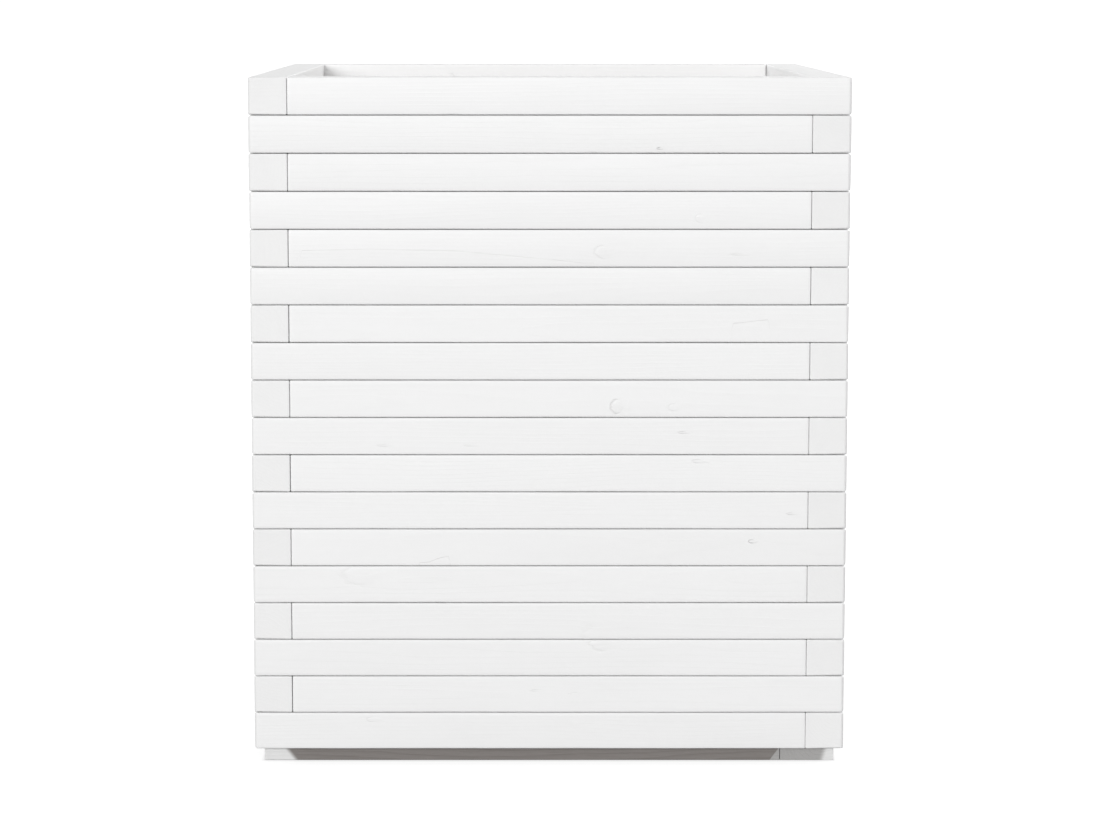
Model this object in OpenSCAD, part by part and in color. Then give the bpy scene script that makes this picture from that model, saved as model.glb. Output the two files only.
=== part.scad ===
// Square planter box of stacked timber slats.
// Every course has four slats. A slat shows one end as a square block at a corner and butts
// against its neighbour with the other, and the next course runs the other way round.
// Millimetres. +Z up, front face towards -Y, origin at the middle of the base, on the ground.

/* [Box] */
// Outer width and depth of the box
box_w = 495; // [400:5:700]
// Number of slat courses, counted from the rim down
courses = 18; // [4:1:18]
// Height of one slat
slat_h = 31.3; // [29:0.1:40]
// Thickness of one slat, which is the wall of the box
slat_t = 31.7; // [28:0.1:40]
// Rounding of the slats' long edges
edge_r = 1; // [0.5:0.1:2]

/* [Dowels] */
// Diameter of the wooden dowels that tie each course to the one below
dowel_d = 8; // [6:1:10]
// Length of a dowel, half of it in each slat
dowel_l = 26; // [16:1:26]
// Space left beyond each end of a dowel for glue
glue_gap = 1; // [0.5:0.1:1.2]

/* [Base] */
// Height of the flat strips that the box stands on
base_t = 11.6; // [11:0.1:20]
// Width of the base strips, which reach inside the walls as a ledge
base_w = 45; // [45:1:60]
// How far the base strips stand back from the faces of the box
base_inset = 7.5; // [4:0.5:8]

/* [Floor] */
// Thickness of the floor boards
floor_t = 12; // [12:1:15]
// Width of one floor board
board_w = 80; // [60:1:90]
// Least gap beside a floor board, where water drains
drain_gap = 5; // [3:0.5:10]
// Gap between the floor boards' ends and the walls
end_gap = 1.5; // [1:0.5:3]

/* [Screws] */
// Shank diameter of the countersunk screws
screw_d = 3.5; // [3:0.5:4]
// Diameter of the screw heads
head_d = 7; // [6:0.5:8]
// Length of the screws that hold the base strips to the bottom course
base_screw_l = 30; // [25:1:35]
// Length of the screws that hold the floor boards to the base strips
floor_screw_l = 20; // [18:1:21]
// Number of screws along each base strip
strip_screws = 4; // [2:1:5]

/* [Hidden] */
$fn = 48;
cut = 1;

half_w = box_w / 2;
slat_l = box_w - slat_t;
inner_w = box_w - 2 * slat_t;
wall_mid = half_w - slat_t / 2;
butt_mid = half_w - slat_t * 3 / 2;

strip_gap = 0.4;
strip_l = box_w - 2 * base_inset - base_w - strip_gap;
strip_start = -half_w + base_inset;
screw_inset = 60;
first_screw = -wall_mid + screw_inset;
screw_step = -2 * first_screw / (strip_screws - 1);

boards = floor((inner_w - drain_gap) / (board_w + drain_gap));
board_gap = (inner_w - boards * board_w) / (boards + 1);
board_l = inner_w - 2 * end_gap;
board_screw_in = 14;
ledge_mid = (inner_w / 2 + half_w - base_inset - base_w) / 2;

head_h = (head_d - screw_d) / 2;
head_sunk = 0.3;
tip_l = 4;
tip_d = 0.6;
cross_w = 4.2;
cross_t = 1.1;
cross_deep = 1.3;

paint = "whitesmoke";
wood = "burlywood";
steel = "silver";

function two_digits(k) = str(k < 10 ? "0" : "", k);
function slat_names(wall) = [for (k = [1 : courses]) str(wall, two_digits(k))];

// Course 1 is the rim. A front slat reaches the right-hand corner in odd courses, where way is 1,
// and the left-hand corner in even courses, where way is -1.
function course_z(k) = base_t + (courses - k) * slat_h;
function way(k) = k % 2 == 1 ? 1 : -1;

// The dowels under a slat: one at its corner block, one just inside its butted end
function dowels_under(k) = [way(k) * wall_mid, -way(k) * butt_mid];

// The dowels that come down into a slat from the course above
function dowels_over(k) = [way(k) * wall_mid, way(k) * butt_mid];

// Section of a slat, with its corner at the origin
module slat_section() {
    for (x = [edge_r, slat_t - edge_r], y = [edge_r, slat_h - edge_r])
        translate([x, y]) circle(r = edge_r);
    translate([edge_r, 0]) square([slat_t - 2 * edge_r, slat_h]);
    translate([0, edge_r]) square([slat_t, slat_h - 2 * edge_r]);
}

module dowel_holes(places, z) {
    deep = dowel_l / 2 + glue_gap;
    for (x = places)
        translate([x, -wall_mid, z - deep]) cylinder(d = dowel_d, h = 2 * deep);
}

// A slat of course k, in its place in the front wall
module slat(k) {
    z = course_z(k);
    start = way(k) == 1 ? -half_w + slat_t : -half_w;
    difference() {
        translate([start, -half_w, z])
            rotate([90, 0, 90]) linear_extrude(slat_l) slat_section();
        if (k < courses) dowel_holes(dowels_under(k), z);
        if (k > 1) dowel_holes(dowels_over(k), z + slat_h);
        if (k == courses) at_strip_screws() screw_hole(base_screw_l);
    }
}

module front_slat(k) {
    color(paint) slat(k);
}

module back_slat(k) {
    color(paint) rotate(180) slat(k);
}

// The left and right slats of course k
module side_slats(k) {
    color(paint)
        for (turn = [-90, 90]) rotate(turn) slat(k);
}

// Two dowels under each slat of every course but the lowest
module corner_dowels() {
    color(wood)
        for (k = [1 : courses - 1], turn = [0 : 90 : 270], x = dowels_under(k))
            rotate(turn)
                translate([x, -wall_mid, course_z(k) - dowel_l / 2])
                    cylinder(d = dowel_d, h = dowel_l);
}

// Countersunk screw, pointing up from the flat of its head
module screw(length) {
    difference() {
        union() {
            cylinder(d1 = head_d, d2 = screw_d, h = head_h);
            cylinder(d = screw_d, h = length - tip_l);
            translate([0, 0, length - tip_l]) cylinder(d1 = screw_d, d2 = tip_d, h = tip_l);
        }
        for (turn = [0, 90])
            rotate(turn)
                translate([-cross_w / 2, -cross_t / 2, -cut])
                    cube([cross_w, cross_t, cross_deep + cut]);
    }
}

// The hole that such a screw fills, open at the head
module screw_hole(length) {
    translate([0, 0, -cut]) cylinder(d = head_d, h = cut);
    cylinder(d1 = head_d, d2 = screw_d, h = head_h);
    cylinder(d = screw_d, h = length);
}

// Places of the screws under the front wall
module at_strip_screws() {
    for (i = [0 : strip_screws - 1])
        translate([first_screw + i * screw_step, -wall_mid, head_sunk]) children();
}

// Places of the screws under all four walls
module at_base_screws() {
    for (turn = [0 : 90 : 270]) rotate(turn) at_strip_screws() children();
}

// Places of the screws in the floor, two at each end of a board
module at_floor_screws() {
    top = base_t + floor_t - head_sunk;
    for (i = [0 : boards - 1], x = [board_screw_in, board_w - board_screw_in], y = [-1, 1])
        translate([board_x(i) + x, y * ledge_mid, top]) mirror([0, 0, 1]) children();
}

function board_x(i) = -inner_w / 2 + board_gap + i * (board_w + board_gap);

// Four flat strips under the walls, each one's end close against the side of the next
module base_strips() {
    color(paint) difference() {
        for (turn = [0 : 90 : 270])
            rotate(turn)
                translate([strip_start, strip_start, 0]) cube([strip_l, base_w, base_t]);
        at_base_screws() screw_hole(base_screw_l);
        at_floor_screws() screw_hole(floor_screw_l);
    }
}

module base_screws() {
    color(steel) at_base_screws() screw(base_screw_l);
}

// Boards laid from front to back on the ledge of the base strips
module floor_boards() {
    color(wood) difference() {
        for (i = [0 : boards - 1])
            translate([board_x(i), -board_l / 2, base_t]) cube([board_w, board_l, floor_t]);
        at_floor_screws() screw_hole(floor_screw_l);
    }
}

module floor_screws() {
    color(steel) at_floor_screws() screw(floor_screw_l);
}

for (k = [1 : courses]) {
    front_slat(k);
    back_slat(k);
    side_slats(k);
}
corner_dowels();
base_strips();
base_screws();
floor_boards();
floor_screws();
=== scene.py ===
import math

import bpy
import numpy as np
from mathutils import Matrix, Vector


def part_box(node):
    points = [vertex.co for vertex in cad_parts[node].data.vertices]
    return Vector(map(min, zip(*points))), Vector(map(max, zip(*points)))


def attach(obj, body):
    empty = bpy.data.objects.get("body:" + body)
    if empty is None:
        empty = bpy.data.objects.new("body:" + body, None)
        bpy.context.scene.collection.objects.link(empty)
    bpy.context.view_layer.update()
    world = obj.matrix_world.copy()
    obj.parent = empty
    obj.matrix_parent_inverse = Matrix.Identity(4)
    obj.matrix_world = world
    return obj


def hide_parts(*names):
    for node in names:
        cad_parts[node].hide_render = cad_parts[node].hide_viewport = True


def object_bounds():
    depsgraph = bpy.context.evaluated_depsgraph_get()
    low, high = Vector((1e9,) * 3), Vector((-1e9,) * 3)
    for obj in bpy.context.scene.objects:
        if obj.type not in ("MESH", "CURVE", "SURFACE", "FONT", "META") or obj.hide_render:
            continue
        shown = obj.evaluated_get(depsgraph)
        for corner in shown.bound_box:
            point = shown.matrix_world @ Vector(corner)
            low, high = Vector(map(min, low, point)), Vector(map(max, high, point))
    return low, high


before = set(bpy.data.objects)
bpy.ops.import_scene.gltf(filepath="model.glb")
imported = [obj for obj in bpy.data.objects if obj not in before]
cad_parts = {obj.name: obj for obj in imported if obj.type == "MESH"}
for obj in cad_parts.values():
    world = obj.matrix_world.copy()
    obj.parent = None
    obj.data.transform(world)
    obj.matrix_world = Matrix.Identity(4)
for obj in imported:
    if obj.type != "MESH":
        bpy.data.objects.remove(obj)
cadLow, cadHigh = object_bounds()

# A square planter of stacked white slats. Metres, +Z up, front wall towards -Y.
print("frame loaded:", len(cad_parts), "nodes")

scene = bpy.context.scene
halfWidth = cadHigh.x
rimHeight = cadHigh.z


# Shader helpers
def newGroup(name, inputs, outputs):
    group = bpy.data.node_groups.new(name, "ShaderNodeTree")
    for label, kind, value in inputs:
        socket = group.interface.new_socket(name=label, in_out="INPUT", socket_type=kind)
        if value is not None:
            socket.default_value = value
    for label, kind in outputs:
        group.interface.new_socket(name=label, in_out="OUTPUT", socket_type=kind)
    return group, group.nodes.new("NodeGroupInput"), group.nodes.new("NodeGroupOutput")


def feed(tree, target, value):
    if isinstance(value, bpy.types.NodeSocket):
        tree.links.new(value, target)
    elif value is not None:
        target.default_value = value


def mathNode(tree, operation, first, second=None, third=None, clamp=False):
    node = tree.nodes.new("ShaderNodeMath")
    node.operation, node.use_clamp = operation, clamp
    for target, value in zip(node.inputs, (first, second, third)):
        feed(tree, target, value)
    return node.outputs[0]


def stretched(tree, vector, scale):
    node = tree.nodes.new("ShaderNodeVectorMath")
    node.operation = "MULTIPLY"
    feed(tree, node.inputs[0], vector)
    node.inputs[1].default_value = scale
    return node.outputs[0]


def noiseNode(tree, vector, scale, detail=2.0, roughness=0.5):
    node = tree.nodes.new("ShaderNodeTexNoise")
    node.inputs["Scale"].default_value = 1.0
    node.inputs["Detail"].default_value = detail
    node.inputs["Roughness"].default_value = roughness
    feed(tree, node.inputs["Vector"], stretched(tree, vector, scale))
    return node.outputs["Fac"]


def remap(tree, value, low, high, newLow=0.0, newHigh=1.0, smooth=False):
    node = tree.nodes.new("ShaderNodeMapRange")
    node.interpolation_type = "SMOOTHSTEP" if smooth else "LINEAR"
    ends = {"From Min": low, "From Max": high, "To Min": newLow, "To Max": newHigh}
    for label, number in ends.items():
        feed(tree, node.inputs[label], number)
    feed(tree, node.inputs["Value"], value)
    return node.outputs["Result"]


def mixColour(tree, factor, first, second):
    node = tree.nodes.new("ShaderNodeMix")
    node.data_type = "RGBA"
    feed(tree, node.inputs["Factor"], factor)
    feed(tree, node.inputs["A"], first)
    feed(tree, node.inputs["B"], second)
    return node.outputs["Result"]


def attributeNode(tree, name, output="Vector"):
    node = tree.nodes.new("ShaderNodeAttribute")
    node.attribute_name = name
    return node.outputs[output]


def groupNode(tree, group, **values):
    node = tree.nodes.new("ShaderNodeGroup")
    node.node_tree = group
    for label, value in values.items():
        feed(tree, node.inputs[label], value)
    return node.outputs


# The sum of some masks, each times its own share
def addUp(tree, parts, clamp=False):
    total = 0.0
    for count, (mask, share) in enumerate(parts, 1):
        last = count == len(parts)
        total = mathNode(tree, "MULTIPLY_ADD", mask, share, total, clamp=clamp and last)
    return total


def newMaterial(name):
    material = bpy.data.materials.new(name)
    material.use_nodes = True
    return material, material.node_tree, material.node_tree.nodes["Principled BSDF"]


def bump(tree, height, distance):
    node = tree.nodes.new("ShaderNodeBump")
    node.inputs["Strength"].default_value = 1.0
    node.inputs["Distance"].default_value = distance
    feed(tree, node.inputs["Height"], height)
    return node.outputs["Normal"]


# Camera, floor and lights
cameraSetup = {
    "lens": 95.6,           # mm on a 36 mm sensor
    "inFront": 2.400,       # from the front wall
    "sideways": -0.0235,    # left of the planter's middle
    "overRim": 0.064,
    "tiltDown": 7.05,       # degrees
    "shiftX": 0.0262,
    "shiftY": -0.048,
}

studio = {
    "floorColour": (0.30, 0.30, 0.30, 1),
    "floorSeen": (0.78, 1.0),   # glow towards the camera near the planter and far off
    "floorFades": (1.2, 4.5),       # between these distances
    "floorShade": (0.234, 0.244),   # the paper under the planter doesn't glow, and a thin band round its foot glows less as a painted contact shadow
    "floorGlow": 0.01,      # glow that lights the planter
    "floorRoughness": 0.9,
    "floorSize": 80,
    "domeSeen": 1.05,       # glow towards the camera
    "domeLight": 0.50,      # glow that lights the planter
    "lightsAimAt": 0.6,     # share of the planter's height
    "lights": [             # name, place, size, watts
        ("key", (-4.6, -11.8, 3.3), 4.0, 900),
        ("front", (1.5, -10.8, 2.0), 3.6, 148),
        ("right", (6.6, 2.2, 2.8), 4.4, 145),
        ("left", (-3.7, 6.5, 2.8), 2.6, 190),
        ("back", (3.4, 6.3, 4.6), 2.6, 280),
    ],
}


def makeCamera(setup):
    data = bpy.data.cameras.new("camera")
    data.lens, data.sensor_width = setup["lens"], 36
    data.shift_x, data.shift_y = setup["shiftX"], setup["shiftY"]
    camera = bpy.data.objects.new("camera", data)
    camera.location = (setup["sideways"], -halfWidth - setup["inFront"], rimHeight + setup["overRim"])
    camera.rotation_euler = (math.radians(90 - setup["tiltDown"]), 0, 0)
    scene.collection.objects.link(camera)
    scene.camera = camera


# One strength for what the camera sees and another for what lights the planter
def switchForCamera(tree, target, lighting, seen):
    path = tree.nodes.new("ShaderNodeLightPath")
    strength = tree.nodes.new("ShaderNodeMapRange")
    strength.inputs["To Min"].default_value = lighting
    feed(tree, strength.inputs["To Max"], seen)
    tree.links.new(path.outputs["Is Camera Ray"], strength.inputs["Value"])
    tree.links.new(strength.outputs["Result"], target)


def makeFloor(setup):
    reach = setup["floorSize"] / 2
    corners = [(-reach, -reach, 0), (reach, -reach, 0), (reach, reach, 0), (-reach, reach, 0)]
    mesh = bpy.data.meshes.new("floor")
    mesh.from_pydata(corners, [], [(0, 1, 2, 3)])
    floor = bpy.data.objects.new("floor", mesh)
    scene.collection.objects.link(floor)
    material, tree, shader = newMaterial("floorPaper")
    shader.inputs["Base Color"].default_value = setup["floorColour"]
    shader.inputs["Roughness"].default_value = setup["floorRoughness"]
    shader.inputs["Emission Color"].default_value = (1, 1, 1, 1)
    place = tree.nodes.new("ShaderNodeNewGeometry").outputs["Position"]
    distance = tree.nodes.new("ShaderNodeVectorMath")
    distance.operation = "LENGTH"
    feed(tree, distance.inputs[0], place)
    split = tree.nodes.new("ShaderNodeSeparateXYZ")
    feed(tree, split.inputs[0], place)
    across, along = (mathNode(tree, "ABSOLUTE", split.outputs[axis]) for axis in "XY")
    # no glow under the planter, less in a thin band round its foot: a painted contact shadow
    clear = remap(tree, mathNode(tree, "MAXIMUM", across, along), *setup["floorShade"], smooth=True)
    away = distance.outputs["Value"]
    seen = remap(tree, away, *setup["floorFades"], *setup["floorSeen"], smooth=True)
    seen = mathNode(tree, "MULTIPLY", seen, clear)
    switchForCamera(tree, shader.inputs["Emission Strength"], setup["floorGlow"], seen)
    mesh.materials.append(material)


def makeDome(setup):
    world = bpy.data.worlds.new("dome")
    world.use_nodes = True
    sky = world.node_tree.nodes["Background"]
    sky.inputs["Color"].default_value = (1, 1, 1, 1)
    switchForCamera(world.node_tree, sky.inputs["Strength"], setup["domeLight"], setup["domeSeen"])
    scene.world = world


def makeLights(setup):
    target = Vector((0, 0, rimHeight * setup["lightsAimAt"]))
    for name, place, size, watts in setup["lights"]:
        data = bpy.data.lights.new(name, "AREA")
        data.shape, data.size, data.energy = "SQUARE", size, watts
        lamp = bpy.data.objects.new(name, data)
        lamp.location = place
        lamp.rotation_euler = (target - Vector(place)).to_track_quat("-Z", "Y").to_euler()
        scene.collection.objects.link(lamp)


makeCamera(cameraSetup)
makeFloor(studio)
makeDome(studio)
makeLights(studio)
scene.view_settings.view_transform = "Standard"
print("camera and studio made")


# Noise in the wood, as waves per metre along it, across it and up
grainNoise = {
    "slowWander": (3.5, 30, 30),
    "quickWander": (14, 120, 120),
    "fibres": (45, 1500, 1500),
    "brush": (9, 620, 620),
    "patches": (11, 40, 40),
    "tone": (0.9, 3, 3),
    "knotOutline": (160, 260, 260),
}

ringShape = {
    "quickShare": 0.16,     # of the wander
    "lateWood": 3.0,        # how late in the year it sets in
    "yearEnds": 0.93,       # the ridge drops from here to the next ring
}


# Growth rings round a wandering pith, with late wood as thin ridges
def makeRingsGroup(shape):
    group, given, out = newGroup(
        "growthRings",
        [
            ("Vector", "NodeSocketVector", None),
            ("Spacing", "NodeSocketFloat", 0.003),
            ("Wander", "NodeSocketFloat", 0.004),
            ("Bend", "NodeSocketFloat", 0.0),
        ],
        [("Rings", "NodeSocketFloat")],
    )
    place = given.outputs["Vector"]
    split = group.nodes.new("ShaderNodeSeparateXYZ")
    feed(group, split.inputs[0], place)
    slow = mathNode(group, "SUBTRACT", noiseNode(group, place, grainNoise["slowWander"], 1.0), 0.5)
    quick = mathNode(group, "SUBTRACT", noiseNode(group, place, grainNoise["quickWander"], 2.0), 0.5)
    across = mathNode(group, "MULTIPLY", split.outputs["Y"], split.outputs["Y"])
    upward = mathNode(group, "MULTIPLY", split.outputs["Z"], split.outputs["Z"])
    reach = mathNode(group, "SQRT", mathNode(group, "ADD", across, upward))
    reach = mathNode(group, "MULTIPLY_ADD", slow, given.outputs["Wander"], reach)
    quickWander = mathNode(group, "MULTIPLY", given.outputs["Wander"], shape["quickShare"])
    reach = mathNode(group, "MULTIPLY_ADD", quick, quickWander, reach)
    reach = mathNode(group, "ADD", reach, given.outputs["Bend"])
    year = mathNode(group, "FRACT", mathNode(group, "DIVIDE", reach, given.outputs["Spacing"]))
    late = mathNode(group, "POWER", year, shape["lateWood"])
    drop = remap(group, year, shape["yearEnds"], 1.0, 1.0, 0.0, smooth=True)
    feed(group, out.inputs["Rings"], mathNode(group, "MULTIPLY", late, drop))
    return group


# Fine fibres and brush strokes along a piece
def makeStrokesGroup():
    group, given, out = newGroup(
        "strokes",
        [("Vector", "NodeSocketVector", None)],
        [(name, "NodeSocketFloat") for name in ("Fibres", "Brush", "Patches", "Tone")],
    )
    place = given.outputs["Vector"]
    feed(group, out.inputs["Fibres"], noiseNode(group, place, grainNoise["fibres"], 3.0, 0.6))
    feed(group, out.inputs["Brush"], noiseNode(group, place, grainNoise["brush"], 3.0, 0.55))
    feed(group, out.inputs["Patches"], noiseNode(group, place, grainNoise["patches"], 2.0))
    feed(group, out.inputs["Tone"], noiseNode(group, place, grainNoise["tone"], 1.0))
    return group


knotShape = {                   # in units of the knot's own size
    "ragged": 0.6,
    "body": (0.2, 1.2),         # fades out between these
    "rimAt": 0.85,
    "rimWidth": 0.26,
    "rimSide": (-0.5, 0.5),     # fades out between these, from left to right
    "rimRagged": 1.5,
    "rimHeight": -1.6,          # against the swelling's 1
    "swelling": (0.4, 1.1),
    "bendReach": 2.1,
}


# A knot or a short split, from the place relative to its middle in units of its own size
def makeKnotGroup(shape):
    group, given, out = newGroup(
        "knot",
        [("Vector", "NodeSocketVector", None), ("Texture", "NodeSocketVector", None)],
        [(name, "NodeSocketFloat") for name in ("Body", "Rim", "Height", "Bend")],
    )
    split = group.nodes.new("ShaderNodeSeparateXYZ")
    feed(group, split.inputs[0], given.outputs["Vector"])
    across = mathNode(group, "MULTIPLY", split.outputs["X"], split.outputs["X"])
    upward = mathNode(group, "MULTIPLY", split.outputs["Y"], split.outputs["Y"])
    straight = mathNode(group, "SQRT", mathNode(group, "ADD", across, upward))
    noise = noiseNode(group, given.outputs["Texture"], grainNoise["knotOutline"], 2.0)
    wobble = mathNode(group, "SUBTRACT", noise, 0.5)
    reach = mathNode(group, "MULTIPLY_ADD", wobble, shape["ragged"], straight)
    strength = split.outputs["Z"]
    fade = remap(group, reach, *shape["body"], 1.0, 0.0, smooth=True)
    body = mathNode(group, "MULTIPLY", fade, strength)
    band = mathNode(group, "ABSOLUTE", mathNode(group, "SUBTRACT", reach, shape["rimAt"]))
    ring = remap(group, band, 0.0, shape["rimWidth"], 1.0, 0.0, smooth=True)
    sideways = mathNode(group, "MULTIPLY_ADD", wobble, shape["rimRagged"], split.outputs["X"])
    oneSide = remap(group, sideways, *shape["rimSide"], 1.0, 0.0, smooth=True)
    rim = mathNode(group, "MULTIPLY", mathNode(group, "MULTIPLY", ring, oneSide), strength)
    feed(group, out.inputs["Body"], body)
    feed(group, out.inputs["Rim"], rim)
    swelling = remap(group, reach, *shape["swelling"], 1.0, 0.0, smooth=True)
    swelling = mathNode(group, "MULTIPLY", swelling, strength)
    height = mathNode(group, "MULTIPLY_ADD", rim, shape["rimHeight"], swelling)
    feed(group, out.inputs["Height"], height)
    around = remap(group, straight, 0.0, shape["bendReach"], 1.0, 0.0, smooth=True)
    feed(group, out.inputs["Bend"], mathNode(group, "MULTIPLY", around, strength))
    return group


ringsGroup = makeRingsGroup(ringShape)
strokesGroup = makeStrokesGroup()
knotGroup = makeKnotGroup(knotShape)


def growthRings(tree, grain, look, bend=None):
    spacing, wander = look["ringSpacing"], look["ringWander"]
    rings = groupNode(tree, ringsGroup, Vector=grain, Spacing=spacing, Wander=wander, Bend=bend)
    return rings["Rings"]


# Finishes
paintFinish = {
    "white": (0.863, 0.863, 0.864, 1),
    "thin": (0.718, 0.716, 0.711, 1),     # where the wood shows through a little
    "ringSpacing": 0.0032,
    "ringWander": 0.016,
    "knotBend": 0.006,      # how far a knot pushes the rings aside
    "ringTint": 0.055,      # shares of thin paint
    "fibreTint": 0.07,
    "patchTint": 0.07,
    "toneTint": 0.16,       # from slat to slat
    "knotTint": 0.13,
    "rimTint": 0.45,
    "veinTint": 0.75,
    "endTint": 0.16,
    "edgeTint": 0.20,
    "ringHeight": 0.26,
    "fibreHeight": 0.22,
    "brushHeight": 0.30,
    "knotHeight": 1.6,
    "veinHeight": -1.2,
    "relief": 0.00016,      # metres that a height of 1 stands up
    "roughness": (0.40, 0.56),
    "endRoughness": 0.12,   # added at the sawn ends
}


# White satin paint over softwood, for the slats
def makePaint(look):
    material, tree, shader = newMaterial("whitePaint")
    grain = attributeNode(tree, "grainAt")
    ends = attributeNode(tree, "sawnEnd", "Fac")
    arris = attributeNode(tree, "arris", "Fac")
    vein = tree.nodes.new("ShaderNodeSeparateXYZ")
    feed(tree, vein.inputs[0], attributeNode(tree, "veinAt"))
    knot = groupNode(tree, knotGroup, Vector=attributeNode(tree, "knotAt"), Texture=grain)
    bend = mathNode(tree, "MULTIPLY", knot["Bend"], look["knotBend"])
    rings = growthRings(tree, grain, look, bend)
    strokes = groupNode(tree, strokesGroup, Vector=grain)

    fromVein = mathNode(tree, "ABSOLUTE", vein.outputs["X"])
    veinBand = remap(tree, fromVein, 0.1, 0.55, 1.0, 0.0, smooth=True)
    veinMask = mathNode(tree, "MULTIPLY", veinBand, vein.outputs["Y"])
    broken = remap(tree, strokes["Fibres"], 0.35, 0.6, 0.35, 1.0)
    veinMask = mathNode(tree, "MULTIPLY", veinMask, broken)
    # darker along the edges: thinner paint, and painted shade on the rounded edges
    wearAndEdgeShade = mathNode(tree, "MULTIPLY", arris, remap(tree, strokes["Brush"], 0.45, 0.7))

    tint = addUp(tree, [
        (rings, look["ringTint"]),
        (remap(tree, strokes["Fibres"], 0.5, 0.8), look["fibreTint"]),
        (remap(tree, strokes["Patches"], 0.45, 0.75), look["patchTint"]),
        (remap(tree, strokes["Tone"], 0.3, 0.7), look["toneTint"]),
        (knot["Body"], look["knotTint"]),
        (knot["Rim"], look["rimTint"]),
        (veinMask, look["veinTint"]),
        (ends, look["endTint"]),
        (wearAndEdgeShade, look["edgeTint"]),
    ], clamp=True)
    feed(tree, shader.inputs["Base Color"], mixColour(tree, tint, look["white"], look["thin"]))

    roughness = remap(tree, strokes["Brush"], 0.3, 0.7, *look["roughness"])
    roughness = mathNode(tree, "MULTIPLY_ADD", ends, look["endRoughness"], roughness)
    feed(tree, shader.inputs["Roughness"], roughness)

    height = addUp(tree, [
        (rings, look["ringHeight"]),
        (strokes["Fibres"], look["fibreHeight"]),
        (strokes["Brush"], look["brushHeight"]),
        (knot["Height"], look["knotHeight"]),
        (veinMask, look["veinHeight"]),
    ])
    feed(tree, shader.inputs["Normal"], bump(tree, height, look["relief"]))
    return material


pineFinish = {
    "early": (0.76, 0.57, 0.37, 1),
    "late": (0.54, 0.34, 0.18, 1),
    "knot": (0.24, 0.12, 0.06, 1),
    "warmth": (1.12, 0.84),         # saturation and value of the darker boards
    "ringSpacing": 0.0036,
    "ringWander": 0.020,
    "knotBend": 0.014,
    "knotDarkness": 0.75,
    "ringTint": 0.6,                # shares of late wood
    "fibreTint": 0.25,
    "patchTint": 0.2,
    "endTint": 0.35,
    "ringHeight": 0.5,
    "fibreHeight": 0.5,
    "knotHeight": 0.8,
    "relief": 0.00025,
    "roughness": (0.55, 0.75),
}


def warmer(tree, colour, warmth):
    node = tree.nodes.new("ShaderNodeHueSaturation")
    node.inputs["Saturation"].default_value, node.inputs["Value"].default_value = warmth
    feed(tree, node.inputs["Color"], colour)
    return node.outputs["Color"]


# Bare pine, for the floor boards
def makePine(look):
    material, tree, shader = newMaterial("barePine")
    grain = attributeNode(tree, "grainAt")
    ends = attributeNode(tree, "sawnEnd", "Fac")
    knot = groupNode(tree, knotGroup, Vector=attributeNode(tree, "knotAt"), Texture=grain)
    bend = mathNode(tree, "MULTIPLY", knot["Bend"], look["knotBend"])
    rings = growthRings(tree, grain, look, bend)
    strokes = groupNode(tree, strokesGroup, Vector=grain)
    tint = addUp(tree, [
        (rings, look["ringTint"]),
        (remap(tree, strokes["Fibres"], 0.45, 0.75), look["fibreTint"]),
        (remap(tree, strokes["Patches"], 0.4, 0.75), look["patchTint"]),
        (ends, look["endTint"]),
    ], clamp=True)
    colour = mixColour(tree, tint, look["early"], look["late"])
    tone = remap(tree, strokes["Tone"], 0.35, 0.65)
    colour = mixColour(tree, tone, colour, warmer(tree, colour, look["warmth"]))
    heart = mathNode(tree, "MULTIPLY", remap(tree, knot["Body"], 0.2, 0.42), look["knotDarkness"])
    dark = mathNode(tree, "MAXIMUM", heart, knot["Rim"], clamp=True)
    feed(tree, shader.inputs["Base Color"], mixColour(tree, dark, colour, look["knot"]))
    roughness = remap(tree, strokes["Fibres"], 0.3, 0.7, *look["roughness"])
    feed(tree, shader.inputs["Roughness"], roughness)
    height = addUp(tree, [
        (rings, look["ringHeight"]),
        (strokes["Fibres"], look["fibreHeight"]),
        (knot["Height"], look["knotHeight"]),
    ])
    feed(tree, shader.inputs["Normal"], bump(tree, height, look["relief"]))
    return material


stripFinish = {
    # The first two colours are the wood in painted shade, the third a painted half light and the
    # fourth white as painted light at the strip's ends
    "bareInShade": (0.226, 0.209, 0.198, 1),
    "bareLateInShade": (0.151, 0.136, 0.125, 1),
    "halfLight": (0.405, 0.400, 0.394, 1),     # painted half light, mid grey on the sawn ends and beside the far end
    "paint": (0.755, 0.755, 0.752, 1),
    "ringSpacing": 0.0030,
    "ringWander": 0.016,
    "ringTint": 0.45,               # shares of late wood
    "fibreTint": 0.35,
    "halfLitEdge": (-0.5, 0.5),        # millimetres
    "litEdge": (-3.0, 3.0),
    "litEdgeWander": 5.0,
    "ringHeight": 0.5,
    "fibreHeight": 0.6,
    "relief": 0.00025,
    "roughness": (0.45, 0.85),      # of the white at the ends and of the bare wood
}
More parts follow.
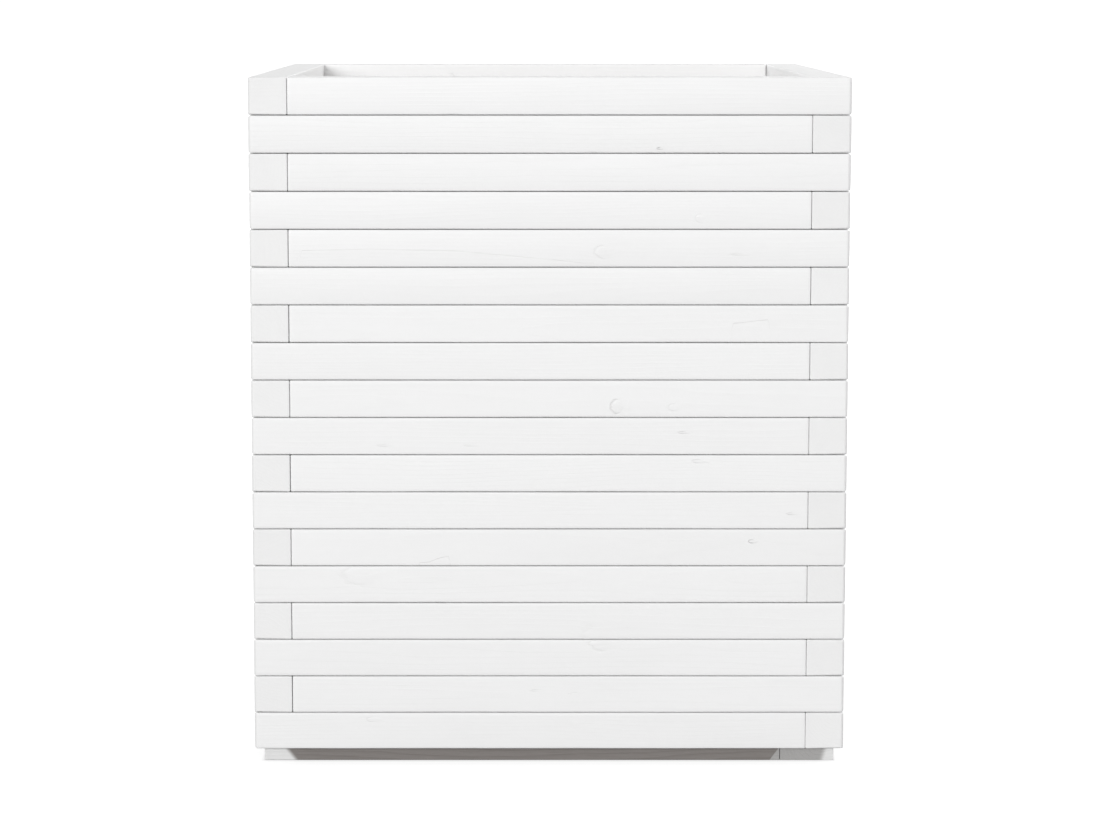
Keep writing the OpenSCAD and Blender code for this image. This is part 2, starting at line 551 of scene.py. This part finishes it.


# Bare timber for the base strips, darkened as painted shade, with painted light as white near the
# corners and a painted half-lit grey by the far end
def makeStripWood(look):
    material, tree, shader = newMaterial("stripPaintedLight")
    grain = attributeNode(tree, "grainAt")
    ends = attributeNode(tree, "sawnEnd", "Fac")
    litEnd = attributeNode(tree, "litEndAt", "Fac")
    rings = growthRings(tree, grain, look)
    strokes = groupNode(tree, strokesGroup, Vector=grain)
    fibres = remap(tree, strokes["Fibres"], 0.45, 0.75)
    tint = addUp(tree, [(rings, look["ringTint"]), (fibres, look["fibreTint"])], clamp=True)
    bareInShade = mixColour(tree, tint, look["bareInShade"], look["bareLateInShade"])
    # painted half light: the sawn ends and a wedge by the far end turn mid grey
    halfLitWedge = remap(tree, attributeNode(tree, "halfLitAt", "Fac"), *look["halfLitEdge"], smooth=True)
    halfLitMask = mathNode(tree, "MAXIMUM", ends, halfLitWedge)
    speckle = remap(tree, strokes["Fibres"], 0.35, 0.65, 0.8, 1.0)
    halfLight = mixColour(tree, mathNode(tree, "MULTIPLY", halfLitMask, speckle), bareInShade, look["halfLight"])
    # painted light: white near the corners, with a ragged slanting edge
    patches = mathNode(tree, "SUBTRACT", strokes["Patches"], 0.5)
    ragged = mathNode(tree, "MULTIPLY_ADD", patches, look["litEdgeWander"], litEnd)
    litShare = remap(tree, ragged, *look["litEdge"], smooth=True)
    feed(tree, shader.inputs["Base Color"], mixColour(tree, litShare, halfLight, look["paint"]))
    low, high = look["roughness"]
    feed(tree, shader.inputs["Roughness"], remap(tree, litShare, 0.0, 1.0, high, low))
    height = addUp(tree, [(rings, look["ringHeight"]), (strokes["Fibres"], look["fibreHeight"])])
    feed(tree, shader.inputs["Normal"], bump(tree, height, look["relief"]))
    return material


zincFinish = {
    "colour": (0.60, 0.61, 0.62, 1),
    "dull": (0.43, 0.43, 0.42, 1),
    "clouds": (900, 900, 900),      # noise, as waves per metre
    "grime": (260, 260, 260),
    "roughness": (0.28, 0.5),
    "relief": 0.00002,
}


# Bright zinc, for the screws
def makeZinc(look):
    material, tree, shader = newMaterial("zincSteel")
    place = tree.nodes.new("ShaderNodeTexCoord").outputs["Object"]
    clouds = noiseNode(tree, place, look["clouds"], 3.0)
    grime = remap(tree, noiseNode(tree, place, look["grime"], 2.0), 0.45, 0.7)
    feed(tree, shader.inputs["Base Color"], mixColour(tree, grime, look["colour"], look["dull"]))
    shader.inputs["Metallic"].default_value = 1.0
    feed(tree, shader.inputs["Roughness"], remap(tree, clouds, 0.3, 0.7, *look["roughness"]))
    feed(tree, shader.inputs["Normal"], bump(tree, clouds, look["relief"]))
    return material


beechFinish = {
    "light": (0.62, 0.44, 0.29, 1),
    "fleck": (0.42, 0.26, 0.15, 1),
    "flecks": (2400, 2400, 260),    # noise, as waves per metre
    "roughness": (0.55, 0.7),
    "relief": 0.00004,
}


# Beech, for the dowels
def makeBeech(look):
    material, tree, shader = newMaterial("beech")
    place = tree.nodes.new("ShaderNodeTexCoord").outputs["Object"]
    flecks = noiseNode(tree, place, look["flecks"], 2.0)
    colour = mixColour(tree, remap(tree, flecks, 0.5, 0.7), look["light"], look["fleck"])
    feed(tree, shader.inputs["Base Color"], colour)
    feed(tree, shader.inputs["Roughness"], remap(tree, flecks, 0.3, 0.7, *look["roughness"]))
    feed(tree, shader.inputs["Normal"], bump(tree, flecks, look["relief"]))
    return material


whitePaint = makePaint(paintFinish)
barePine = makePine(pineFinish)
stripPaintedLight = makeStripWood(stripFinish)
zincSteel = makeZinc(zincFinish)
beech = makeBeech(beechFinish)
print("finishes made")


# Timber pieces. A piece lies along u, is v thick from its outer face inwards and w high. turn is
# the wall it belongs to: 0 front, 90 right, 180 back, 270 left.

# The box of each separate solid in a CAD node, sorted by place
def solidBoxes(node):
    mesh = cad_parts[node].data
    places = np.array([v.co for v in mesh.vertices]).round(6)
    _, same = np.unique(places, axis=0, return_inverse=True)
    same = same.ravel()
    owner = list(range(same.max() + 1))

    def root(i):
        while owner[i] != i:
            owner[i] = owner[owner[i]]
            i = owner[i]
        return i

    for edge in mesh.edges:
        first, second = (same[corner] for corner in edge.vertices)
        owner[root(first)] = root(second)
    roots = np.array([root(i) for i in same])
    boxes = [(places[roots == r].min(0), places[roots == r].max(0)) for r in np.unique(roots)]
    return sorted(boxes, key=lambda b: tuple(b[0].round(3)))


class Lay:
    def __init__(self, box, turn):
        low, high = (np.array(corner) for corner in box)
        size = high - low
        self.length, self.thick = (size[0], size[1]) if turn % 180 == 0 else (size[1], size[0])
        self.high = size[2]
        angle = math.radians(turn)
        along = np.array([math.cos(angle), math.sin(angle), 0]).round()
        inward = np.array([-math.sin(angle), math.cos(angle), 0]).round()
        self.axes = np.array([along, inward, [0, 0, 1]])
        own = np.array([self.length, self.thick, self.high])
        self.start = (low + high) / 2 - own @ self.axes / 2

    def toWorld(self, own):
        return self.start + own @ self.axes

    def toOwn(self, world):
        return (world - self.start) @ self.axes.T


timberShape = {
    "arcSteps": 4,                      # of a rounded edge
    "easeSteps": (90, 60, 30, 0),       # degrees round an eased end
    "endRings": (0.96, 0.7, 0.35),      # shares of the outline that close an end
    "edgeWave": 0.12,                   # unevenness of an edge, as a share of its rounding
    "dentReach": (0.003, 0.007),
    "waveSpans": (0.31, 0.13, 0.055),
    "waveSizes": (0.4, 1),
    "waveFading": 0.6,                  # size of each wave against the one before
}


def slowWave(rng, u, size):
    total = np.zeros_like(u)
    for span in timberShape["waveSpans"]:
        phase = rng.uniform(0, math.tau)
        total += np.sin(u / span * math.tau + phase) * rng.uniform(*timberShape["waveSizes"]) * size
        size *= timberShape["waveFading"]
    return total


# Points round a rounded rectangle: corner that the point belongs to, place of its arc's middle
# in -1..1, and outward normal
def sectionPoints(arcSteps, thick, high, spacing):
    rows = []
    corners = [(-1, -1, 180), (1, -1, 270), (1, 1, 0), (-1, 1, 90)]
    for n, (kx, ky, begin) in enumerate(corners):
        for i in range(arcSteps + 1):
            a = math.radians(begin + 90 * i / arcSteps)
            rows.append((n, kx, ky, math.cos(a), math.sin(a)))
        nextX, nextY = corners[(n + 1) % 4][:2]
        a = math.radians(begin + 90)
        steps = max(6, round((thick if n % 2 == 0 else high) / spacing))
        for i in range(1, steps):
            s = (1 - math.cos(math.pi * i / steps)) / 2
            rows.append((n, kx + (nextX - kx) * s, ky + (nextY - ky) * s, math.cos(a), math.sin(a)))
    return np.array(rows)


# Closes one end of a tube, the ring of points from first on, with smaller rings and a fan
def closeEnd(points, faces, first, around, atStart):
    outline = points[first: first + around]
    centre = outline.mean(0)
    rim = list(range(first, first + around))
    for scale in timberShape["endRings"]:
        inner = list(range(len(points), len(points) + around))
        points = np.concatenate([points, centre + (outline - centre) * scale])
        for i in range(around):
            j = (i + 1) % around
            quad = [rim[i], rim[j], inner[j], inner[i]]
            faces.append(quad[::-1] if atStart else quad)
        rim = inner
    points = np.concatenate([points, centre[None]])
    for i in range(around):
        fan = [rim[i], rim[(i + 1) % around], len(points) - 1]
        faces.append(fan[::-1] if atStart else fan)
    return points


# A closed mesh of a planed timber piece, with eased edges and slow waves in its faces. inset is
# how far it stays short at its start, its far end, and at its top and underside. cornerEnd is 0
# or 1 for the start or the far end when that one stands at a corner of the box, rounder there.
def timberMesh(name, lay, look, rng, crown=0.0, inset=(0, 0, 0), shift=0.0, cornerEnd=None):
    section = sectionPoints(timberShape["arcSteps"], lay.thick, lay.high, look["pointSpacing"])
    corner, kx, ky, nx, ny = section.T
    arris, ease = look["arris"], look["endArris"]
    startInset, farInset, seam = inset
    length, thick, high = lay.length - startInset - farInset, lay.thick, lay.high - 2 * seam
    easeSteps = np.radians(timberShape["easeSteps"])
    starts = ease * (1 - np.sin(easeSteps))
    margin = max(ease, look.get("cornerEase", 0)) * 1.5
    middle = np.linspace(margin, length - margin, max(4, int(length / look["ringSpacing"])))
    u = np.concatenate([starts, middle, length - starts[::-1]])
    shrunk = ease * (1 - np.cos(easeSteps))
    shrink = np.concatenate([shrunk, np.zeros(len(middle)), shrunk[::-1]])

    edgeWave = timberShape["edgeWave"]
    rounding = np.stack([arris * (1 + slowWave(rng, u, edgeWave)) for _ in range(4)], 1)
    for _ in range(look["dents"]):
        reach = (u - rng.uniform(0.02, 0.98) * length) / rng.uniform(*timberShape["dentReach"])
        rounding[:, rng.integers(4)] += rng.uniform(0.3, 1) * look["dentDepth"] * np.exp(-reach ** 2)
    r = np.clip(rounding[:, corner.astype(int)], ease * 1.02, arris * 2)
    push = np.zeros_like(r)
    for side, (sx, sy) in enumerate(((-1, 0), (1, 0), (0, -1), (0, 1))):
        facing = np.clip(nx * sx + ny * sy, 0, 1) ** 2
        rise = slowWave(rng, u, look["wave"] if sy == 0 else look["seamWave"])
        sweep = 1 - (kx if sx == 0 else ky) ** 2
        fuller = crown * sweep if side == 0 else 0
        push += facing * (rise[:, None] + fuller)
    v = thick / 2 + kx * (thick / 2 - r) + (r - shrink[:, None]) * nx + push * nx
    w = high / 2 + ky * (high / 2 - r) + (r - shrink[:, None]) * ny + push * ny
    along = np.repeat(u[:, None], len(section), 1)
    if cornerEnd is not None:
        startEnd = (slice(0, len(easeSteps)), easeSteps, 1)
        farEnd = (slice(-len(easeSteps), None), easeSteps[::-1], -1)
        rows, steps, inwards = farEnd if cornerEnd else startEnd
        more = (look["cornerEase"] - ease) * np.clip(1 - v[rows] / thick, 0, 1)
        slope = (steps / steps.max())[:, None]
        along[rows] += inwards * more * (1 - slope)
        v[rows] += more * slope
        w[rows] += look["cornerSeam"] * more * slope * (1 - w[rows] / high * 2)
    own = np.stack([along + startInset, v + shift, w + seam], 2)

    rings, around = own.shape[:2]
    points = own.reshape(-1, 3)
    here = np.arange(rings - 1)[:, None] * around + np.arange(around)[None]
    beside = np.arange(rings - 1)[:, None] * around + np.roll(np.arange(around), -1)[None]
    faces = np.stack([here, beside, beside + around, here + around], 2).reshape(-1, 4).tolist()
    points = closeEnd(points, faces, 0, around, True)
    points = closeEnd(points, faces, (rings - 1) * around, around, False)
    mesh = bpy.data.meshes.new(name)
    mesh.from_pydata(lay.toWorld(points).tolist(), [], faces)
    mesh.shade_smooth()
    return mesh


def setField(mesh, name, values):
    kind, key = ("FLOAT", "value") if values.ndim == 1 else ("FLOAT_VECTOR", "vector")
    field = mesh.attributes.new(name, kind, "POINT")
    field.data.foreach_set(key, np.ascontiguousarray(values, dtype=np.float32).ravel())


def ownPoints(mesh, lay):
    world = np.empty(len(mesh.vertices) * 3)
    mesh.vertices.foreach_get("co", world)
    return lay.toOwn(world.reshape(-1, 3))


farAway = 9.0               # for points that no knot, grain line or spray reaches
knotReach = (2.2, 0.002)    # a knot's marks end at so many times its width, and this much more


# Fields that the finishes read: place in the wood, sawn ends, edges, knots and grain lines
def markTimber(mesh, lay, rng, look, knots=(), veins=()):
    own = ownPoints(mesh, lay)
    u, v, w = own.T
    pith = np.array([0, rng.uniform(-0.045, 0.02), rng.uniform(-0.05, 0.05)])
    setField(mesh, "grainAt", own - pith + np.array([rng.uniform(0, 40), 0, 0]))
    nearEnd = np.minimum(u, lay.length - u)
    setField(mesh, "sawnEnd", (nearEnd < look["endArris"] * 0.3).astype(float))
    toSides = np.stack([np.minimum(v, lay.thick - v), np.minimum(w, lay.high - w), nearEnd])
    toSides = np.sort(toSides, 0)
    setField(mesh, "arris", np.clip(1 - toSides[1] / (look["arris"] * 1.6), 0, 1))

    # across is height on the faces of a slat, and width on the top of a board
    across = (w - lay.high / 2) if lay.high > lay.thick / 3 else (v - lay.thick / 2)
    knotAt = np.tile([farAway, farAway, 0.0], (len(own), 1))
    nearest, second = np.full((2, len(own)), farAway)
    for along, aside, wide, tall, strength in knots:
        fromKnot = u - lay.length / 2 - along
        away = np.abs(fromKnot)
        closer = away < nearest
        near = away < wide * knotReach[0] + knotReach[1]
        values = np.stack([fromKnot / wide, (across - aside) / tall, strength * near], 1)
        knotAt[closer] = values[closer]
        second = np.where(closer, nearest, np.minimum(second, away))
        nearest = np.where(closer, away, nearest)
    # no mark where the field passes from one knot to the next
    knotAt[second - nearest < look["ringSpacing"] * 2, 2] = 0
    setField(mesh, "knotAt", knotAt)

    # millimetres from the grain line, and its strength
    veinAt = np.tile([farAway, 0.0, 0.0], (len(own), 1))
    place = u - lay.length / 2
    for line, strength in veins:
        line = np.array(line)
        level = np.interp(place, line[:, 0], line[:, 1])
        on = (place >= line[0, 0]) & (place <= line[-1, 0])
        veinAt[on, 0] = ((w - lay.high / 2 - level) * 1000)[on]
        veinAt[on, 1] = strength
    setField(mesh, "veinAt", veinAt)


def addPiece(name, mesh, nodes, slot, *materials):
    piece = bpy.data.objects.new(name, mesh)
    scene.collection.objects.link(piece)
    for material in materials:
        mesh.materials.append(material)
    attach(piece, "root")
    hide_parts(*nodes)
    return piece


# Slats
slatShape = {
    "arris": 0.0010,        # rounding of the long edges
    "endArris": 0.0007,     # easing at the sawn ends
    "cornerEase": 0.0020,   # rounding of the box's upright corners
    "cornerSeam": 0.3,      # share of it that widens the seams there
    "seam": 0.00032,        # how far a slat stays short of each neighbour
    "buttGap": (0.00038, 0.00052),  # in even and odd courses
    "ringSpacing": 0.004,   # of the mesh along the slat
    "pointSpacing": 0.006,  # and round it
    "wave": 0.00008,        # unevenness of the faces
    "seamWave": 0.00002,    # and of the top and underside
    "dents": 3,
    "dentDepth": 0.0006,
    "crown": 0.00010,
    "topCrown": 0.00062,    # the upper front slats are fuller
    "topCrowned": 6,
    "proud": 0.00008,       # how far faces may step in or out
}

# Marks seen on the front slats, by course: knots and splits as place along the slat from the
# wall's middle, height from the slat's middle, width, height and strength. Millimetres.
frontKnots = {
    2: [(90.6, -11.8, 3.0, 1.0, 1.0)],
    4: [(124, -6.8, 5.0, 4.0, 0.35)],
    5: [(44, -3.5, 8.0, 6.0, 0.45), (157, -5.0, 9.0, 0.8, 0.35)],
    9: [(56, -6.5, 6.0, 6.5, 1.0), (103, -7.3, 5.0, 3.5, 0.4)],
    10: [(-136, -7.8, 9.0, 0.8, 0.35), (-64, -7.8, 8.0, 0.7, 0.3), (112, 3.2, 6.0, 0.9, 0.6)],
    11: [(125.6, 10.2, 8.0, 1.8, 0.5)],
    12: [(202, -2.8, 5.0, 1.0, 0.6)],
    13: [(170, 5.2, 4.0, 1.8, 1.0)],
    14: [(-158, 7.2, 17.0, 9.0, 0.35)],
    15: [(40, -13.0, 14.0, 11.0, 0.25)],
    16: [(45, 11.4, 13.0, 6.0, 0.45)],
    17: [(-10, 3.5, 6.0, 0.8, -0.4), (21, 1.0, 5.0, 0.8, -0.4)],
    18: [(-147, 9.7, 7.0, 2.5, 0.35)],
}

# Long grain lines: points along the slat as place and height, and strength
frontVeins = {
    5: [
        (
            [(-208, -2.3), (-150, -0.6), (-75, -2.3), (-40, -5.5), (6, -9.8), (28, -12.3), (40, -12)],
            0.55,
        ),
    ],
    7: [([(149, 0.2), (160, 0.9), (172, 2.6), (182, 3.6)], 0.8)],
    13: [([(-112, -13.5), (-100, -12.4), (-92, -9.0), (-84, -7.4)], 0.8)],
}


# The rows above in metres from the slat's own middle, which is aside of the wall's
def knotsInMetres(rows, aside):
    knots = []
    for *sizes, strength in rows:
        along, height, wide, tall = (size / 1000 for size in sizes)
        knots.append((along - aside, height, wide, tall, strength))
    return knots


def veinsInMetres(rows, aside):
    return [([(x / 1000 - aside, z / 1000) for x, z in line], strength) for line, strength in rows]


strays = {
    "perSlat": 0.8,
    "along": 0.45,          # how far from the middle, as shares of the slat's length and height
    "aside": 0.4,
    "wide": (0.003, 0.009),
    "tall": (0.003, 0.007),
    "strength": (0.2, 0.8),
}


# A few faint knots for slats that the photograph doesn't show
def strayKnots(rng, lay, look):
    places = rng.uniform(-look["along"], look["along"], rng.poisson(look["perSlat"]))
    knots = []
    for place in np.sort(places) * lay.length:
        height = rng.uniform(-look["aside"], look["aside"]) * lay.high
        sizes = [rng.uniform(*look[name]) for name in ("wide", "tall", "strength")]
        knots.append((place, height, *sizes))
    return knots


def makeSlat(course, wall, turn, node, box):
    rng = np.random.default_rng(course * 10 + turn // 90)
    lay = Lay(box, turn)
    front = turn == 0
    crowned = front and course <= slatShape["topCrowned"]
    crown = slatShape["topCrown" if crowned else "crown"]
    shift = rng.uniform(0, slatShape["proud"])
    # the end that shows as a block is the far one in odd courses
    ends = [slatShape["buttGap"][course % 2], rng.uniform(0, slatShape["proud"])]
    inset = (*(ends if course % 2 else ends[::-1]), slatShape["seam"])
    name = f"{wall}_timber_{course:02d}"
    mesh = timberMesh(name, lay, slatShape, rng, crown, inset, shift, course % 2)
    if front:
        aside = (box[0][0] + box[1][0]) / 2
        knots = knotsInMetres(frontKnots.get(course, []), aside)
        veins = veinsInMetres(frontVeins.get(course, []), aside)
    else:
        knots = strayKnots(rng, lay, strays)
        veins = []
    markTimber(mesh, lay, rng, slatShape, knots, veins)
    return addPiece(name, mesh, [node], "painted_wood", whitePaint)


courses = sum(name.startswith("front_slat_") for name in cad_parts)
for course in range(1, courses + 1):
    makeSlat(course, "front", 0, f"front_slat_{course:02d}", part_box(f"front_slat_{course:02d}"))
    makeSlat(course, "back", 180, f"back_slat_{course:02d}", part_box(f"back_slat_{course:02d}"))
    left, right = solidBoxes(f"side_slats_{course:02d}")
    makeSlat(course, "right", 90, f"side_slats_{course:02d}", right)
    makeSlat(course, "left", 270, f"side_slats_{course:02d}", left)
print("slats made:", courses * 4)


# Base strips, floor boards and their screws
stripShape = {
    "arris": 0.0006,
    "endArris": 0.0003,
    "seam": 0.00008,
    "buttGap": 0.00005,
    "ringSpacing": 0.006,
    "pointSpacing": 0.006,
    "wave": 0.00008,
    "seamWave": 0.00002,
    "dents": 2,
    "dentDepth": 0.0004,
    "litTop": 0.018,      # how far the painted light reaches along a strip at its top edge
    "litBottom": 0.027,
    "endLitTop": 0.0065,  # the same on the sawn end that shows beside the next strip
    "endLitBottom": 0.0105,
    "halfLitWedge": 0.0085,         # painted half light beside that end, at the bottom edge
    "faceDepth": 0.002,     # points less deep than this belong to the outer face
    "endDepth": 0.0006,     # and those nearer than this to the sawn end
    "seed": 400,
}

boardShape = {
    "arris": 0.0014,
    "endArris": 0.0008,
    "seam": 0.00005,
    "ringSpacing": 0.007,
    "pointSpacing": 0.007,
    "wave": 0.00012,
    "seamWave": 0.00006,
    "dents": 3,
    "dentDepth": 0.0008,
    "knotPlaces": (-0.15, -0.03, 0.09, 0.19),   # along the board, from its middle
    "knotWander": 0.025,
    "knotAside": 0.03,
    "knotSize": (0.004, 0.0095),
    "knotStretch": 1.25,
    "knotShare": 0.45,      # share of the places that have a knot
    "seed": 500,
}

screwFit = {
    "head": 0.0035,         # radius
    "shank": 0.00175,
    "slack": 0.00012,
    "overHead": 0.002,      # how far the cut goes on
    "pastTip": 0.0005,
    "sides": 32,
}

sharpEdge = math.radians(40)
walls = {0: "front", 90: "right", 180: "back", 270: "left"}


# A closed solid that fits round every screw of a node, to cut its holes with
def screwRoom(node, headUp, fit):
    points, faces = [], []
    sides = fit["sides"]
    for low, high in solidBoxes(node):
        away = 1 if headUp else -1
        head, tip = (high[2], low[2]) if headUp else (low[2], high[2])
        cone = fit["head"] - fit["shank"]
        outline = [
            (fit["head"], head + away * fit["overHead"]),
            (fit["head"], head),
            (fit["shank"], head - away * cone),
            (fit["shank"], tip - away * fit["pastTip"]),
        ]
        base = len(points)
        centre = (low + high) / 2
        for radius, z in outline:
            r = radius + fit["slack"]
            for i in range(sides):
                a = math.tau * i / sides
                points.append((centre[0] + r * math.cos(a), centre[1] + r * math.sin(a), z))
        for ring in range(len(outline) - 1):
            here, below = base + ring * sides, base + (ring + 1) * sides
            for i in range(sides):
                j = (i + 1) % sides
                quad = [here + i, here + j, below + j, below + i]
                faces.append([quad[0], *quad[:0:-1]] if headUp else quad)
        first = list(range(base, base + sides))
        last = list(range(len(points) - sides, len(points)))
        faces += [first, last[::-1]] if headUp else [first[::-1], last]
    mesh = bpy.data.meshes.new("screwRoom")
    mesh.from_pydata(points, [], faces)
    room = bpy.data.objects.new("screwRoom", mesh)
    scene.collection.objects.link(room)
    return room


def cutWith(mesh, rooms):
    block = bpy.data.objects.new("toCut", mesh)
    scene.collection.objects.link(block)
    for room in rooms:
        cut = block.modifiers.new("cut", "BOOLEAN")
        cut.operation, cut.solver, cut.object = "DIFFERENCE", "EXACT", room
    shown = block.evaluated_get(bpy.context.evaluated_depsgraph_get())
    made = bpy.data.meshes.new_from_object(shown)
    bpy.data.objects.remove(block)
    made.shade_smooth()
    made.set_sharp_from_angle(angle=sharpEdge)
    return made


# How far a point is inside the painted light near the corners and inside the painted half light, in
# millimetres
def markPaintedLight(mesh, lay, look):
    u, v, w = ownPoints(mesh, lay).T
    rise = w / lay.high
    onFace = v < look["faceDepth"]
    edge = look["litBottom"] + (look["litTop"] - look["litBottom"]) * rise
    endEdge = look["endLitBottom"] + (look["endLitTop"] - look["endLitBottom"]) * rise
    intoLight = np.where(onFace, (edge - u) * 1000, -farAway)
    intoLight = np.where(u < look["endDepth"], (endEdge - v) * 1000, intoLight)
    setField(mesh, "litEndAt", intoLight)
    halfLight = (u - lay.length + look["halfLitWedge"] * (1 - rise)) * 1000
    setField(mesh, "halfLitAt", np.where(onFace, halfLight, -farAway))


baseRoom = screwRoom("base_screws", False, screwFit)
floorRoom = screwRoom("floor_screws", True, screwFit)


# The turn of the wall that a strip lies under
def turnOf(box):
    x, y, _ = (box[0] + box[1]) / 2
    angles = {turn: math.radians(turn) for turn in walls}
    return min(walls, key=lambda turn: y * math.cos(angles[turn]) - x * math.sin(angles[turn]))


def makeStrips():
    for box in solidBoxes("base_strips"):
        turn = turnOf(box)
        rng = np.random.default_rng(stripShape["seed"] + turn)
        lay = Lay(box, turn)
        inset = (0, stripShape["buttGap"], stripShape["seam"])
        mesh = timberMesh("strip", lay, stripShape, rng, 0, inset)
        mesh = cutWith(mesh, [baseRoom, floorRoom])
        markTimber(mesh, lay, rng, stripShape)
        markPaintedLight(mesh, lay, stripShape)
        addPiece(f"base_strip_{walls[turn]}", mesh, ["base_strips"], "bare_wood", stripPaintedLight)


def boardKnots(rng, look):
    knots = []
    for place in look["knotPlaces"]:
        size = rng.uniform(*look["knotSize"])
        along = place + rng.uniform(-look["knotWander"], look["knotWander"])
        aside = rng.uniform(-look["knotAside"], look["knotAside"])
        knots.append((along, aside, size * look["knotStretch"], size, 1.0))
    return [knot for knot in knots if rng.random() < look["knotShare"]]


def makeBoards():
    for number, box in enumerate(solidBoxes("floor_boards"), 1):
        rng = np.random.default_rng(boardShape["seed"] + number)
        lay = Lay(box, 90)
        mesh = timberMesh("board", lay, boardShape, rng, 0, (0, 0, boardShape["seam"]))
        mesh = cutWith(mesh, [floorRoom])
        markTimber(mesh, lay, rng, boardShape, boardKnots(rng, boardShape))
        addPiece(f"floor_board_{number}", mesh, ["floor_boards"], "bare_wood", barePine)


makeStrips()
makeBoards()
bpy.data.objects.remove(baseRoom)
bpy.data.objects.remove(floorRoom)

# The CAD's own screws and dowels stay, with better finishes
for node, slot, material in (
    ("base_screws", "screw_steel", zincSteel),
    ("floor_screws", "screw_steel", zincSteel),
    ("corner_dowels", "bare_wood", beech),
):
    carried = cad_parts[node]
    carried.data.materials.clear()
    carried.data.materials.append(material)
print("base, floor and fixings made")
